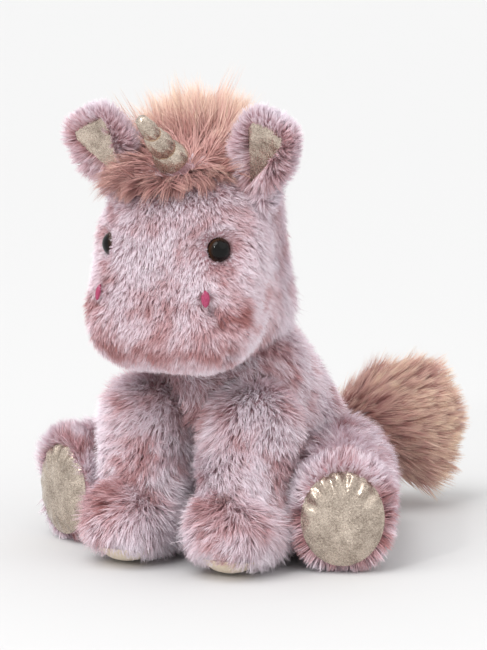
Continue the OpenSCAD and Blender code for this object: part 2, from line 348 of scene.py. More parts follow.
def hash_noise(points, size, seed):
    """Smooth noise from 0 to 1, with features of about size, at each row of points."""
    q = points / size + 31.7 * seed
    cell = np.floor(q).astype(np.int64)
    f = q - cell
    f = f * f * (3 - 2 * f)
    total = np.zeros(len(points))
    for corner in np.ndindex(2, 2, 2):
        c = cell + np.array(corner)
        h = (c[:, 0] * 73856093) ^ (c[:, 1] * 19349663) ^ (c[:, 2] * 83492791) ^ (seed * 2654435)
        h = ((h * 2654435761) & 0xFFFFFFFF) ^ ((h >> 7) & 0xFFFF)
        h = ((h * 40503) & 0xFFFFFF) / float(0xFFFFFF)
        total += h * np.prod(np.where(np.array(corner), f, 1 - f), axis=1)
    return total


def unit(v):
    return v / np.maximum(np.linalg.norm(v, axis=-1, keepdims=True), 1e-12)


def smoothstep(low, high, value):
    t = np.clip((value - low) / (high - low), 0, 1)
    return t * t * (3 - 2 * t)


def skin_mesh(name, nodes, voxel, inset, smooth=10, dents=(), shape=None):
    """One smooth closed form over those CAD nodes, drawn in by inset, then pressed by each dent.

    A dent is (centre, radius, depth), and a negative depth is a swelling. shape moves the points last."""
    bm = bmesh.new()
    for node in nodes:
        bm.from_mesh(frame["nodes"][node].data)
    rough = bpy.data.meshes.new(name + "_rough")
    bm.to_mesh(rough)
    bm.free()
    obj = linked(name + "_rough", rough)
    remesh = obj.modifiers.new("remesh", "REMESH")
    remesh.mode, remesh.voxel_size = "VOXEL", voxel
    relax = obj.modifiers.new("relax", "SMOOTH")
    relax.factor, relax.iterations = 0.5, smooth
    mesh = bpy.data.meshes.new_from_object(obj.evaluated_get(bpy.context.evaluated_depsgraph_get()))
    mesh.name = name
    bpy.data.objects.remove(obj)
    bpy.data.meshes.remove(rough)
    co = points_of(mesh) - normals_of(mesh) * inset
    put_points(mesh, co)
    if dents:
        normals = normals_of(mesh)
        for centre, radius, depth in dents:
            fall = np.exp(-((np.linalg.norm(co - np.array(centre), axis=1) / radius) ** 2))
            co = co - normals * (fall * depth)[:, None]
    if shape is not None:
        co = shape(co)
    put_points(mesh, co)
    return mesh


# ---- pile

FIBRE_MAP = "OFBake"  # the UV map that holds each fibre's shade across it and the way from root to tip up it


class Roots:
    """Points scattered over a mesh for that kind of pile, with the skin's normals there.

    keep gives the share of points wanted at each place, and without it they lie evenly."""

    def __init__(self, mesh, kind, rng, keep=None):
        count = int(FIBRES[kind] * DENSITY)
        mesh.calc_loop_triangles()
        tris = np.empty(len(mesh.loop_triangles) * 3, dtype=np.int64)
        mesh.loop_triangles.foreach_get("vertices", tris)
        tris = tris.reshape(-1, 3)
        co, normals = points_of(mesh), normals_of(mesh)
        a, b, c = co[tris[:, 0]], co[tris[:, 1]], co[tris[:, 2]]
        area = np.linalg.norm(np.cross(b - a, c - a), axis=1)
        if keep is not None:
            area = area * keep((a + b + c) / 3)
        chosen = np.searchsorted(np.cumsum(area), rng.random(count) * area.sum())
        chosen = np.minimum(chosen, len(tris) - 1)
        u, v = rng.random(count), rng.random(count)
        flip = u + v > 1
        u, v = np.where(flip, 1 - u, u), np.where(flip, 1 - v, v)
        w = 1 - u - v
        self.at = a[chosen] * w[:, None] + b[chosen] * u[:, None] + c[chosen] * v[:, None]
        t = tris[chosen]
        self.normal = unit(normals[t[:, 0]] * w[:, None] + normals[t[:, 1]] * u[:, None]
                           + normals[t[:, 2]] * v[:, None])


def nearest(points, centres):
    """Index of the nearest centre to each point."""
    tree = KDTree(len(centres))
    for k, c in enumerate(centres):
        tree.insert(c, k)
    tree.balance()
    return np.fromiter((tree.find(p)[1] for p in points), dtype=np.int64, count=len(points))


def walk(at, first, last, length, steps):
    """Curves from each root that turn from the first direction to the last: one array of ring centres."""
    rings = [at]
    for k in range(steps):
        t = (k + 0.5) / steps
        rings.append(rings[-1] + unit(first * (1 - t) + last * t) * (length / steps)[:, None])
    return np.stack(rings, axis=1)


def fibre_mesh(name, rings, side, width, shade):
    """Flat fibres that taper to a point. rings is fibres x (steps + 1) x 3, and side points across each."""
    count, levels = rings.shape[:2]
    along = np.linspace(0, 1, levels)
    taper = (1 - along[:-1] ** 1.6) * 0.5
    half = side[:, None, :] * (width[:, None] * taper[None, :])[:, :, None]
    body = np.stack([rings[:, :-1] - half, rings[:, :-1] + half], axis=2).reshape(count, -1, 3)
    co = np.concatenate([body, rings[:, -1:, :]], axis=1)
    per = co.shape[1]
    quads = [[2 * k, 2 * k + 1, 2 * k + 3, 2 * k + 2] for k in range(levels - 2)]
    tip = [per - 3, per - 2, per - 1]
    loop_one = np.array([i for q in quads for i in q] + tip)
    sizes_one = np.array([4] * len(quads) + [3])
    base = (np.arange(count) * per)[:, None]
    loops = (loop_one[None, :] + base).ravel()
    sizes = np.tile(sizes_one, count)
    starts = np.concatenate([[0], np.cumsum(sizes)[:-1]])
    mesh = bpy.data.meshes.new(name)
    mesh.vertices.add(count * per)
    mesh.vertices.foreach_set("co", co.astype(np.float32).ravel())
    mesh.loops.add(len(loops))
    mesh.loops.foreach_set("vertex_index", loops.astype(np.int32))
    mesh.polygons.add(len(sizes))
    mesh.polygons.foreach_set("loop_start", starts.astype(np.int32))
    uv = mesh.uv_layers.new(name=FIBRE_MAP)
    across_one = np.array(([-1, 1] * (levels - 1)) + [0])[loop_one] * 0.006
    up_one = np.array([a for a in along[:-1] for _ in (0, 1)] + [1.0])[loop_one]
    u = np.clip(shade, 0.01, 0.99)[:, None] + across_one[None, :]
    v = np.broadcast_to(0.01 + 0.98 * up_one[None, :], u.shape)
    uv.uv.foreach_set("vector", np.stack([u, v], axis=2).astype(np.float32).ravel())
    mesh.update(calc_edges=True)
    mesh.validate()
    return mesh


def grow(name, roots, body, paint, rng, length, first, last, shade, clump, pull, width,
         steps=3, roll=0.5, scatter=0.22, clump_scatter=0.35, uneven=0.15):
    """A piece of pile on those roots.

    length, first and last are one row for each root: how long, which way at the root and at the tip.
    About clump fibres lean together into each tuft, and pull is how far their tips close up. Tufts are
    longer or shorter by up to the uneven share."""
    count = len(roots.at)
    tufts = rng.permutation(count)[: max(1, count // clump)]
    tuft = nearest(roots.at, roots.at[tufts])
    sway = rng.normal(0, clump_scatter, (len(tufts), 3))
    tuft_share = rng.uniform(1 - uneven, 1 + uneven, len(tufts))
    tuft_length = length[tufts] * tuft_share
    lead = walk(roots.at[tufts], unit(first[tufts] + 0.3 * sway), unit(last[tufts] + sway), tuft_length,
                steps)
    stray = rng.normal(0, scatter, (count, 3))
    own_length = length * tuft_share[tuft] * rng.uniform(0.75, 1.08, count)
    rings = walk(roots.at, unit(first + 0.6 * stray + 0.3 * sway[tuft]), unit(last + stray + sway[tuft]),
                 own_length, steps)
    t = np.linspace(0, 1, steps + 1) ** 1.3 * pull
    rings = rings + (lead[tuft] - rings) * t[None, :, None]
    rings = above_floor(rings)
    heading = unit(rings[:, -1] - rings[:, 0])
    flat = unit(np.cross(heading, roots.normal) + 1e-6)
    angle = rng.normal(0, roll, count)[:, None]
    side = flat * np.cos(angle) + np.cross(heading, flat) * np.sin(angle)
    widths = width * rng.uniform(0.75, 1.25, count)
    return add_piece(fibre_mesh(name, rings, side, widths, shade), paint, body)


def tangent(direction, normal):
    """The direction laid flat on the skin."""
    direction = np.broadcast_to(np.asarray(direction, float), normal.shape)
    return unit(direction - normal * np.sum(direction * normal, axis=1, keepdims=True))


def swirled(comb, normal, at, size, degrees, seed):
    """The comb direction turned on the skin by drifting amounts, as stroked pile lies."""
    angle = np.radians(degrees) * 2 * (hash_noise(at, size, seed) * 2 - 1)
    return comb * np.cos(angle)[:, None] + np.cross(normal, comb) * np.sin(angle)[:, None]


def leaning(normal, comb, degrees):
    angle = np.radians(degrees)
    return normal * np.cos(angle) + comb * np.sin(angle)


def patch_shade(points, rng, seed, size=0.015, base=0.14, swing=0.70, spots=()):
    """How rose each fibre is, from 0 pale to 1 deep: soft-edged drifts and given deeper spots, both broken
    up by small flecks. Some of the given spots are painted shade, such as those down the head's mouth folds."""
    drift = hash_noise(points, size, seed) * 0.6 + hash_noise(points, size * 0.4, seed + 5) * 0.4
    shade = swing * smoothstep(0.34, 0.80, drift)
    for centre, radius, amount in spots:
        shade = shade + amount * np.exp(-((np.linalg.norm(points - np.array(centre), axis=1) / radius) ** 2))
    fleck = 0.45 + 1.1 * hash_noise(points, 0.0035, seed + 9)
    return np.clip(base + shade * fleck + rng.normal(0, 0.08, len(points)), 0, 1)


def above_floor(rings):
    """Fibres that would reach under the floor lie along it."""
    rings[..., 2] = np.maximum(rings[..., 2], FIBRE_FLOOR)
    return rings


make_camera()
make_studio()

PLUSH = fibre_paint(
    "plush_pile",
    root=[(0.0, rgb(228, 204, 212)), (0.5, rgb(208, 164, 168)), (1.0, rgb(164, 104, 104))],
    tip=[(0.0, rgb(250, 243, 250)), (0.35, rgb(242, 225, 233)), (0.65, rgb(216, 174, 178)),
         (1.0, rgb(180, 122, 120))])
HAIR = fibre_paint(
    "mane_pile",
    root=[(0.0, rgb(142, 94, 92)), (0.5, rgb(198, 148, 142)), (1.0, rgb(220, 176, 168))],
    tip=[(0.0, rgb(176, 128, 122)), (0.4, rgb(216, 174, 162)), (0.7, rgb(236, 208, 188)),
         (1.0, rgb(248, 228, 200))],
    turn=(0.50, 1.0), roughness=0.42, sheen=0.25, tint=(1, 0.92, 0.88))
BACKING = backing_paint("plush_backing", rgb(198, 154, 160), rgb(218, 180, 186))
HAIR_BACKING = backing_paint("mane_backing", rgb(104, 58, 54), rgb(140, 86, 78))
METAL = metal_cloth_paint("metallic_cloth", rgb(132, 118, 106), rgb(210, 195, 180))
SOLE = sole_paint()
EYE = eye_paint()
NOSTRIL = plain_paint("nostril_thread", rgb(142, 44, 80), rgb(184, 72, 112), 0.0008, 0.6)
THREAD = plain_paint("thread", rgb(150, 120, 96), rgb(206, 178, 146), 0.0006, 0.5)
STUFFING = plain_paint("stuffing_fibre", rgb(232, 230, 222), rgb(250, 249, 244), 0.003, 0.9, 0.001)
PELLETS = plain_paint("pellet_bag_cloth", rgb(206, 210, 214), rgb(232, 235, 238), 0.0035, 0.7, 0.001)
WASHER = plain_paint("washer_plastic", rgb(224, 224, 220), rgb(240, 240, 237), 0.002, 0.4, 0.00005)


# ---- torso

def build_torso():
    nodes = ("side_panel_left", "side_panel_right", "chest_panel", "seat_gusset", "torso_stuffing")
    mesh = skin_mesh("torso_skin", nodes, 0.003, 0.004, smooth=12)
    co = points_of(mesh)
    co[:, 2] = np.maximum(co[:, 2], SKIN_FLOOR)
    put_points(mesh, co)
    add_piece(mesh, BACKING, "torso", nodes)
    rng = np.random.default_rng(11)

    def covered(points):
        """Bare under the seat, where the legs are sewn on and inside the neck."""
        keep = (points[:, 2] > 0.006).astype(float)
        for s in SIDES.values():
            for joint, radius in (("front_leg_swing_left", 0.024), ("hind_leg_splay_left", 0.031)):
                centre = PIVOT[joint] * np.array([s, 1, 1])
                keep *= np.linalg.norm(points - centre, axis=1) > radius
        up = points - NECK
        keep *= ~((np.linalg.norm(up, axis=1) < 0.06) & (up[:, 2] > 0.048))
        return keep

    roots = Roots(mesh, "torso", rng, covered)
    n = roots.normal
    down = tangent((0, 0.15, -1), n)
    out = tangent((0, 1, -0.5), n)
    comb = swirled(unit(down + 0.25 * out), n, roots.at, 0.028, 40, 31)
    shade = patch_shade(roots.at, rng, 3, base=0.08, swing=0.60, spots=[((0, -0.11, 0.10), 0.03, 0.2)])
    length = np.full(len(n), 0.0115)
    for label, part in (("left", roots.at[:, 0] >= 0), ("right", roots.at[:, 0] < 0)):
        piece = pick(roots, part)
        grow("torso_pile_" + label, piece, "torso", PLUSH, rng, length[part],
             leaning(piece.normal, comb[part], 30), leaning(piece.normal, comb[part], 68),
             shade=shade[part], clump=5, pull=0.36, width=0.00055, clump_scatter=0.26)


def pick(roots, mask):
    """The roots where mask is true."""
    part = object.__new__(Roots)
    part.at, part.normal = roots.at[mask], roots.normal[mask]
    return part


# ---- head

# Places down the fold beside the muzzle, on the toy's left. The skin is dented there, and the fibres there
# are shorter and darker: painted shade in the crease.
MOUTH_FOLD = ((0.037, -0.152, 0.170), (0.040, -0.147, 0.161), (0.041, -0.142, 0.152),
              (0.040, -0.137, 0.143), (0.037, -0.133, 0.135))
# Dents in the head's skin as skin_mesh takes them: down the middle, and on the toy's left.
MIDDLE_DENTS = (
    ((0, -0.160, 0.194), 0.016, 0.0020),  # bridge of the nose
    ((0, -0.158, 0.150), 0.030, -0.0020),  # end of the muzzle
    ((0, -0.148, 0.215), 0.022, -0.0030))  # forehead
SIDE_DENTS = (
    ((0.052, -0.120, 0.204), 0.021, -0.0060),  # temple
    ((0.050, -0.074, 0.204), 0.028, 0.0050),  # side of the head
    ((0.048, -0.050, 0.180), 0.032, 0.0040),  # behind the cheek
    ((0.041, -0.141, 0.2045), 0.0110, 0.0045),  # eye socket
    ((0.034, -0.142, 0.158), 0.022, -0.0030))  # side of the muzzle
MANE_CENTRE = np.array([-0.003, -0.107])
MANE_REACH = np.array([0.031, 0.037])
# The hair turns outward from here, beside the horn, so that most of it falls to the toy's right.
MANE_WHORL = np.array([0.004, -0.122])
UP = np.array([0, 0, 1.0])


def both_sides(place, radius, amount):
    """That spot on the toy's left and its mirror image on the right."""
    x, y, z = place
    return [((s * x, y, z), radius, amount) for s in SIDES.values()]


def mane_share(points):
    """How much of the crown's sewn-in mane patch a point is in, from 0 to 1."""
    off = np.linalg.norm((points[:, :2] - MANE_CENTRE) / MANE_REACH, axis=1)
    return (1 - smoothstep(0.88, 1.0, off)) * smoothstep(0.232, 0.238, points[:, 2])


def build_head():
    nodes = ("face_panel_left", "face_panel_right", "crown_gusset", "chin_gusset", "head_stuffing")
    dents = list(MIDDLE_DENTS)
    for s in SIDES.values():
        dents += [((s * x, y, z), radius, depth) for (x, y, z), radius, depth in SIDE_DENTS]
        dents += [((s * x, y, z), 0.0054, 0.0110) for x, y, z in MOUTH_FOLD]
    mesh = skin_mesh("head_skin", nodes, 0.0028, 0.0025, smooth=10, dents=dents)
    add_piece(mesh, BACKING, "head", nodes)
    rng = np.random.default_rng(23)
    eyes = [np.array(centre_of("eye_" + label)) for label in SIDES]
    nostrils = [np.array(centre_of("nostril_" + label)) for label in SIDES]
    horn = PIVOT["horn_flex"]

    def covered(points):
        """Bare inside the neck and round the horn, eyes and nostrils, and thinner under the mane."""
        keep = np.linalg.norm(points - NECK, axis=1) > NECK_CLEAR
        keep &= np.linalg.norm(points - horn, axis=1) > 0.011
        for eye in eyes:
            keep &= np.linalg.norm(points - eye, axis=1) > 0.0070
        for nostril in nostrils:
            keep &= np.linalg.norm(points - nostril, axis=1) > 0.0016
        return keep * (1.0 - 0.75 * mane_share(points))

    roots = Roots(mesh, "head", rng, covered)
    p, n = roots.at, roots.normal
    outward = np.stack([p[:, 0] * 9, np.full(len(p), 0.25), np.full(len(p), -1.0)], axis=1)
    comb = swirled(tangent(outward, n), n, p, 0.030, 22, 33)
    for centre, reach in [(eye, 0.016) for eye in eyes] + [(nostril, 0.008) for nostril in nostrils]:
        from_it = p - centre
        near = np.exp(-((np.linalg.norm(from_it, axis=1) / reach) ** 2))[:, None]
        comb = unit(comb * (1 - near) + tangent(unit(from_it), n) * near)
    spots = both_sides((0.045, -0.139, 0.167), 0.011, 0.95) + both_sides((0.028, -0.154, 0.148), 0.010, 0.50)
    spots += [((0, -0.160, 0.146), 0.034, 0.26)] + both_sides((0.047, -0.138, 0.211), 0.009, 0.60)
    # Darker fibres down each mouth fold: painted shade in the crease.
    for place in MOUTH_FOLD:
        spots += both_sides(place, 0.0036, 0.70)
    shade = patch_shade(p, rng, 9, base=0.11, swing=0.42, spots=spots)
    eye_gap = np.min([np.linalg.norm(p - e, axis=1) for e in eyes], axis=0)
    length = 0.0082 * (0.55 + 0.45 * smoothstep(0.008, 0.020, eye_gap))
    length = length + 0.0025 * smoothstep(-0.11, -0.06, p[:, 1])
    fold_gap = np.min([np.linalg.norm(p - np.array((s * x, y, z)), axis=1)
                       for x, y, z in MOUTH_FOLD for s in SIDES.values()], axis=0)
    length = length * (0.55 + 0.45 * smoothstep(0.002, 0.009, fold_gap))
    over_seam = smoothstep(0.080, 0.061, np.linalg.norm(p - NECK, axis=1))
    over_seam = over_seam * smoothstep(-0.10, -0.06, p[:, 1])
    length = length + 0.0075 * over_seam
    ahead = p[:, 1] < -0.105
    parts = {
        "cheek_pile_left": (p[:, 0] > 0.020) & ahead,
        "cheek_pile_right": (p[:, 0] < -0.020) & ahead,
        "temple_pile_left": (p[:, 0] > 0.020) & ~ahead,
        "temple_pile_right": (p[:, 0] < -0.020) & ~ahead,
        "crown_pile": (np.abs(p[:, 0]) <= 0.020) & (p[:, 2] > 0.146),
        "chin_pile": (np.abs(p[:, 0]) <= 0.020) & (p[:, 2] <= 0.146),
    }
    for name, part in parts.items():
        piece = pick(roots, part)
        grow(name, piece, "head", PLUSH, rng, length[part],
             leaning(piece.normal, comb[part], 30 + 20 * over_seam[part, None]),
             leaning(piece.normal, comb[part], 64 + 14 * over_seam[part, None]),
             shade=shade[part], clump=5, pull=0.42, width=0.00040, scatter=0.20, clump_scatter=0.20)
    return mesh


# ---- eyes and nostrils

def finished(bm, name):
    """The mesh of a bmesh whose faces are turned outward. The bmesh is freed."""
    bmesh.ops.recalc_face_normals(bm, faces=bm.faces)
    mesh = bpy.data.meshes.new(name)
    bm.to_mesh(mesh)
    bm.free()
    return mesh


def bridge(bm, rings):
    """Faces between each ring of corners and the next. A ring of one corner closes an end."""
    around = max(len(ring) for ring in rings)
    for low, high in zip(rings, rings[1:]):
        for k in range(around):
            m = (k + 1) % around
            if len(low) == 1:
                bm.faces.new((low[0], high[k], high[m]))
            elif len(high) == 1:
                bm.faces.new((low[k], low[m], high[0]))
            else:
                bm.faces.new((low[k], low[m], high[m], high[k]))


def lathe(name, profile, around=48):
    """A mesh turned round Z from (radius, height) pairs; a radius of 0 closes the end."""
    bm = bmesh.new()
    rings = []
    for r, z in profile:
        if r <= 1e-9:
            rings.append([bm.verts.new((0, 0, z))])
        else:
            turns = [k * math.tau / around for k in range(around)]
            rings.append([bm.verts.new((r * math.cos(t), r * math.sin(t), z)) for t in turns])
    bridge(bm, rings)
    return finished(bm, name)


def facing(centre, direction, up=(0, 0, 1)):
    """A placement whose own Z points along direction."""
    z = Vector(direction).normalized()
    x = Vector(up).cross(z).normalized()
    y = z.cross(x)
    m = Matrix((x, y, z)).transposed().to_4x4()
    m.translation = Vector(centre)
    return m


def build_eyes():
    radius = EYE_RADIUS
    turn = math.radians(50)
    for label, s in SIDES.items():
        axis = Vector((s * math.sin(turn), -math.cos(turn), 0))
        washer = centre_of("eye_washer_" + label)
        base = washer + axis * 0.0050
        dome = [(0, 0.0078)] + [(radius * math.sin(t), 0.0012 + 0.0066 * math.cos(t))
                                for t in np.linspace(0.12, math.pi / 2, 14)]
        profile = dome + [(radius, 0.0004), (radius - 0.0006, -0.0002), (0.0021, -0.0002), (0.0020, -0.0088),
                          (0.0023, -0.0094), (0.0020, -0.0100), (0, -0.0115)]
        mesh = lathe("eye_glass_" + label, profile)
        add_piece(mesh, EYE, "head", ("eye_" + label,), place=facing(base, axis))


def tube_mesh(name, paths, radius, sides=8):
    """Round threads along each path of points, with closed, drawn-in ends."""
    bm = bmesh.new()
    for path in paths:
        path = [Vector(q) for q in path]
        rings = []
        for k, q in enumerate(path):
            d = (path[min(k + 1, len(path) - 1)] - path[max(k - 1, 0)]).normalized()
            ref = Vector((0, 0, 1)) if abs(d.z) < 0.9 else Vector((1, 0, 0))
            x = d.cross(ref).normalized()
            y = d.cross(x)
            r = radius * (0.35 if k in (0, len(path) - 1) else 1.0)
            rings.append([bm.verts.new(q + (x * math.cos(t) + y * math.sin(t)) * r)
                          for t in [j * math.tau / sides for j in range(sides)]])
        bridge(bm, rings)
        bm.faces.new(rings[0][::-1])
        bm.faces.new(rings[-1])
    return finished(bm, name)


def build_nostrils():
    """Satin stitches, side by side across a small raised oval."""
    turn, tilt = math.radians(31), math.radians(13)
    half_wide, half_tall, raised = 0.0028, 0.0046, 0.0022
    for label, s in SIDES.items():
        axis = Vector((s * math.sin(turn) * math.cos(tilt), -math.cos(turn) * math.cos(tilt),
                       math.sin(tilt)))
        place = facing(centre_of("nostril_" + label) - axis * 0.0009, axis)
        paths = []
        for up in [(k - 6) / 6 for k in range(13)]:
            half = half_wide * math.sqrt(max(1 - up * up * 0.92, 0.04))
            row = []
            for x in [(j - 3) / 3 for j in range(7)]:
                height = raised * (1 - 0.55 * x * x) * (1 - 0.35 * up * up)
                row.append(place @ Vector((half * x, half_tall * up, height)))
            paths.append(row)
        mesh = tube_mesh("nostril_stitch_" + label, paths, 0.00052)
        add_piece(mesh, NOSTRIL, "head", ("nostril_" + label,))


# ---- mane

def build_mane(head):
    """Long pile sewn into the crown round the horn, and a crest of it down the back of the head."""
    rng = np.random.default_rng(41)
    horn = PIVOT["horn_flex"]
    roots = Roots(head, "forelock", rng,
                  lambda q: mane_share(q) * (np.linalg.norm(q - horn, axis=1) > 0.0125))
    p, n = roots.at, roots.normal
    off = (p[:, :2] - MANE_CENTRE) / MANE_REACH
    reach = np.linalg.norm(off, axis=1)
    radial = np.concatenate([unit(p[:, :2] - MANE_WHORL), np.zeros((len(p), 1))], axis=1)
    back = smoothstep(-0.35, 0.50, off[:, 1])
    front = smoothstep(-0.20, -0.75, off[:, 1])
    left = smoothstep(0.0, 0.9, off[:, 0])
    by_horn = np.exp(-((np.linalg.norm(p - horn, axis=1) / 0.022) ** 2)) * (1 - back)
    rise = 0.30 + 1.30 * back * (1 - 0.30 * reach) - 0.20 * front
    first = unit(radial * (0.45 + 0.60 * reach)[:, None] + UP * rise[:, None] + 0.3 * n)
    fall = 1.05 * back - 0.55 * (1 - back) - 1.1 * front
    last = unit(radial * (0.65 + 0.55 * reach)[:, None] + UP * fall[:, None] + np.array([-0.18, -0.05, 0]))
    length = 0.040 + 0.010 * back + 0.020 * (hash_noise(p, 0.005, 4) - 0.5) - 0.006 * front - 0.012 * left
    length = length * (1 - 0.50 * by_horn)
    shade = np.clip(0.24 + 0.45 * hash_noise(p, 0.005, 6) + 0.26 * back - 0.32 * front
                    + rng.normal(0, 0.13, len(p)), 0, 1)
    forelock = grow("mane_forelock_pile", roots, "head", HAIR, rng, length, first, last,
                    shade=shade, clump=16, pull=0.62, width=0.0006, steps=6, scatter=0.15,
                    clump_scatter=0.34, uneven=0.18)
    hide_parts("mane_forelock")

    crest = Roots(head, "nape", rng, lambda q: (
        (np.abs(q[:, 0]) < 0.013) & (q[:, 1] > -0.074) & (q[:, 2] > 0.190)
        & (np.linalg.norm(q - NECK, axis=1) > NECK_CLEAR)).astype(float))
    behind = tangent((0, 0.9, -0.5), crest.normal)
    shade = 0.2 + 0.6 * hash_noise(crest.at, 0.006, 7) + rng.normal(0, 0.12, len(crest.at))
    shade = np.clip(shade, 0, 1)
    nape = grow("mane_nape_pile", crest, "head", HAIR, rng, np.full(len(crest.at), 0.030),
                unit(crest.normal + 0.5 * behind), unit(behind + 0.35 * crest.normal), clump=24, pull=0.62,
                width=0.00055, steps=5, shade=shade, scatter=0.10, clump_scatter=0.18)
    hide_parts("mane_nape")


# ---- ears

def ear_frame(label):
    """The ear's own placement: Z up the ear, and -Y out of its open side."""
    s = SIDES[label]
    lean, forward = math.radians(26), math.radians(19)
    m = Matrix.Rotation(lean * s, 4, "Y") @ Matrix.Rotation(forward, 4, "X")
    m.translation = PIVOT["ear_flex_" + label]
    return m


def build_ears():
    for label, s in SIDES.items():
        body = "ear_" + label
        place = ear_frame(label)
        inverse = np.array(place.inverted())
        forward = np.array(place)

        def cupped(points):
            q = moved(points, inverse)
            up = np.clip(q[:, 2] / 0.052, 0, 1)
            q[:, 1] -= 0.0055 * (q[:, 0] / 0.017) ** 2 * up ** 0.5 - 0.002 * up
            return moved(q, forward)

        nodes = ("ear_plush_" + label, "ear_lining_" + label)
        mesh = skin_mesh("ear_skin_" + label, nodes, 0.0016, 0.0012, smooth=8, shape=cupped)
        add_piece(mesh, BACKING, body, ("ear_plush_" + label,))

        rng = np.random.default_rng(57 if s > 0 else 58)
        lining = lining_mesh("ear_cloth_" + label, mesh, forward)
        add_piece(lining, METAL, body, ("ear_lining_" + label,))

        def covered(points):
            """Bare under the lining and at the sewn root."""
            q = moved(points, inverse)
            inner = leaf_half_width(q[:, 2])
            in_lining = (q[:, 1] < -0.001) & (np.abs(q[:, 0]) < inner - 0.0006)
            in_lining &= (q[:, 2] > 0.008) & (q[:, 2] < 0.046)
            return (~in_lining & (q[:, 2] > -0.007)).astype(float)

        roots = Roots(mesh, "ear", rng, covered)
        q = moved(roots.at, inverse)
        rotate = forward[:3, :3]
        radial = np.stack([q[:, 0], np.zeros(len(q)), (q[:, 2] - 0.026) * 0.8], axis=1)
        radial = unit(radial) @ rotate.T
        upward = np.array([0, 0, 1.0]) @ rotate.T
        facing_front = -(roots.normal @ (rotate @ np.array([0, 1.0, 0])))
        facing_front = smoothstep(0.1, 0.7, facing_front)[:, None]
        comb = tangent(upward * (1 - facing_front) + radial * facing_front, roots.normal)
        shade = (0.17 + 0.5 * (hash_noise(roots.at, 0.012, 8) - 0.5) + 0.22 * facing_front[:, 0]
                 + rng.normal(0, 0.08, len(q)))
        shade = np.clip(shade, 0, 1)
        length = 0.0105 - 0.0020 * smoothstep(0.03, 0.05, q[:, 2])
        grow("ear_pile_" + label, roots, body, PLUSH, rng, length,
             leaning(roots.normal, comb, 16), leaning(roots.normal, comb, 46), shade=shade, clump=8,
             pull=0.55, width=0.0005, scatter=0.14, clump_scatter=0.20)


def leaf_half_width(z):
    """Half the width of the ear's cloth lining at a height above the root."""
    return np.interp(z, [0.004, 0.010, 0.022, 0.034, 0.042, 0.047, 0.049],
                     [0.0, 0.0018, 0.0058, 0.0098, 0.0122, 0.0105, 0.003])


def lining_mesh(name, skin, forward, across=24, up=40):
    """A leaf of cloth laid in the ear's hollow: a grid dropped onto the skin, then lifted a little."""

    def world(*point):
        return moved(np.array([point]), forward)[0]

    tree = BVHTree.FromPolygons([v.co.copy() for v in skin.vertices],
                                [tuple(p.vertices) for p in skin.polygons])
    aim = Vector(world(0, 1.0, 0) - world(0, 0.0, 0))
    bm = bmesh.new()
    rows = []
    for j in range(up + 1):
        z = 0.005 + 0.0425 * j / up
        half = float(leaf_half_width(z))
        row = []
        for i in range(across + 1):
            x = half * (2 * i / across - 1)
            start = Vector(world(x, -0.05, z))
            hit = tree.ray_cast(start, aim)[0] or start + aim * 0.045
            row.append(bm.verts.new(hit - aim * 0.0008))
        rows.append(row)
    for low, high in zip(rows, rows[1:]):
        for i in range(across):
            bm.faces.new((low[i], low[i + 1], high[i + 1], high[i]))
    return finished(bm, name)


# ---- horn

HORN_LENGTH, HORN_RADIUS, HORN_TIP_RADIUS, HORN_RINGS = 0.044, 0.0115, 0.0034, 3
HORN_SLANT, HORN_SLANT_TURN = 0.0022, 0.6  # how far the grooves rise and fall round the horn, and from where


def horn_matrix():
    m = Matrix.Rotation(math.radians(-13), 4, "Y") @ Matrix.Rotation(math.radians(47), 4, "X")
    m.translation = PIVOT["horn_flex"]
    return m


def horn_radius(z, turn):
    """Taper times one bulge a ring; the grooves run at a slant round the horn."""
    slanted = z + HORN_SLANT * np.cos(turn + HORN_SLANT_TURN)
    k = np.clip(slanted / HORN_LENGTH, 0, 1)
    bulge = 0.80 + 0.24 * np.abs(np.sin(np.pi * HORN_RINGS * k)) ** 0.6
    return (HORN_RADIUS + (HORN_TIP_RADIUS - HORN_RADIUS) * k) * bulge


def build_horn():
    place = horn_matrix()
    around, up = 72, 84
    co, faces = [], []
    start, below_tip, floor = 0.0025, 0.0016, 0.0010
    for j in range(up):
        z = start + (HORN_LENGTH - below_tip - start) * j / (up - 1)
        for i in range(around):
            t = i * math.tau / around
            r = float(horn_radius(z, t))
            crease = 0.00022 * math.sin(9 * t + 400 * z) * math.sin(math.pi * j / up)
            co.append(((r + crease) * math.cos(t), (r + crease) * math.sin(t), z))
    for j in range(up - 1):
        for i in range(around):
            m = (i + 1) % around
            low, high = j * around, (j + 1) * around
            faces.append((low + i, low + m, high + m, high + i))
    top, bottom = len(co), len(co) + 1
    co += [(0, 0, HORN_LENGTH), (0, 0, floor)]
    last = (up - 1) * around
    for i in range(around):
        m = (i + 1) % around
        faces.append((last + i, last + m, top))
        faces.append((m, i, bottom))
    mesh = bpy.data.meshes.new("horn_cloth")
    mesh.from_pydata(co, [], faces)
    mesh.transform(place)
    add_piece(mesh, METAL, "horn", ("horn_cover", "horn_stuffing"))
    paths = []
    for ring in range(1, HORN_RINGS):
        path = []
        for i in range(49):
            t = i * math.tau / 48
            z = HORN_LENGTH * ring / HORN_RINGS - HORN_SLANT * math.cos(t + HORN_SLANT_TURN)
            r = float(horn_radius(z, t)) + 0.0001
            path.append(place @ Vector((r * math.cos(t), r * math.sin(t), z)))
        paths.append(path)
    winding = tube_mesh("horn_winding", paths, 0.00045)
    add_piece(winding, THREAD, "horn", ("horn_thread",))


# ---- front legs

